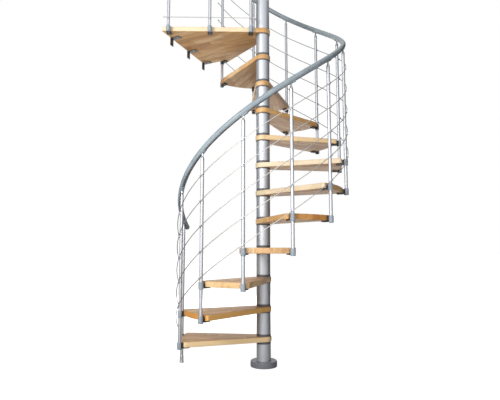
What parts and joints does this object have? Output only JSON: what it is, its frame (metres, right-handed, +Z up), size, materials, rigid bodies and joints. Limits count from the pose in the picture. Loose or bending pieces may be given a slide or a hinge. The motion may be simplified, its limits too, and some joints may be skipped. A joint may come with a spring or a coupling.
{
  "type": "spiral staircase",
  "caption": "Spiral staircase with wedge-shaped wooden treads on a steel column, tubular balusters clamped to the treads, a helical handrail with wires, and a landing.",
  "frame": {"origin": "on the column axis, at the underside of the base plate, which is the lower floor", "axes": "+Z up along the column; -X points out of the landing across its exit edge"},
  "size_m": [1.454, 1.3999, 3.8096],
  "materials": {
    "beech": "satin lacquer on jointed staves",
    "column_paint": "silver grey powder coat",
    "baluster_steel": "bright silver paint",
    "pole_steel": "plain steel",
    "base_plastic": "satin dark grey",
    "ring_plastic": "satin dark grey",
    "rail_plastic": "satin grey-blue",
    "clamp_grey": "satin grey-blue",
    "clamp_black": "matt black",
    "bracket_black": "matt black",
    "wire_steel": "pale drawn wire"
  },
  "bodies": {
    "root": {"base_plate": "pole_steel", "base_cover": "base_plastic", "centre_pole": "pole_steel", "column_sleeves": "column_paint", "spacer_rings": "ring_plastic", "column_cap": "base_plastic", "tread_01": "beech", "tread_02": "beech", "tread_03": "beech", "tread_04": "beech", "tread_05": "beech", "tread_06": "beech", "tread_07": "beech", "tread_08": "beech", "tread_09": "beech", "tread_10": "beech", "tread_11": "beech", "landing": "beech", "landing_brackets": "bracket_black", "baluster_00": "baluster_steel", "baluster_01": "baluster_steel", "baluster_02": "baluster_steel", "baluster_03": "baluster_steel", "baluster_04": "baluster_steel", "baluster_05": "baluster_steel", "baluster_06": "baluster_steel", "baluster_07": "baluster_steel", "baluster_08": "baluster_steel", "baluster_09": "baluster_steel", "baluster_10": "baluster_steel", "baluster_11": "baluster_steel", "landing_balusters": "baluster_steel", "baluster_foot": "baluster_steel", "tread_clamps": "clamp_grey", "edge_brackets": "clamp_black", "rail_supports": "rail_plastic", "handrail": "rail_plastic", "landing_handrail": "rail_plastic", "rail_ends": "base_plastic", "rail_wire_1": "wire_steel", "rail_wire_2": "wire_steel", "rail_wire_3": "wire_steel", "rail_wire_4": "wire_steel", "rail_wire_5": "wire_steel", "landing_wires": "wire_steel", "wire_clips": "baluster_steel"}
  },
  "joints": []
}
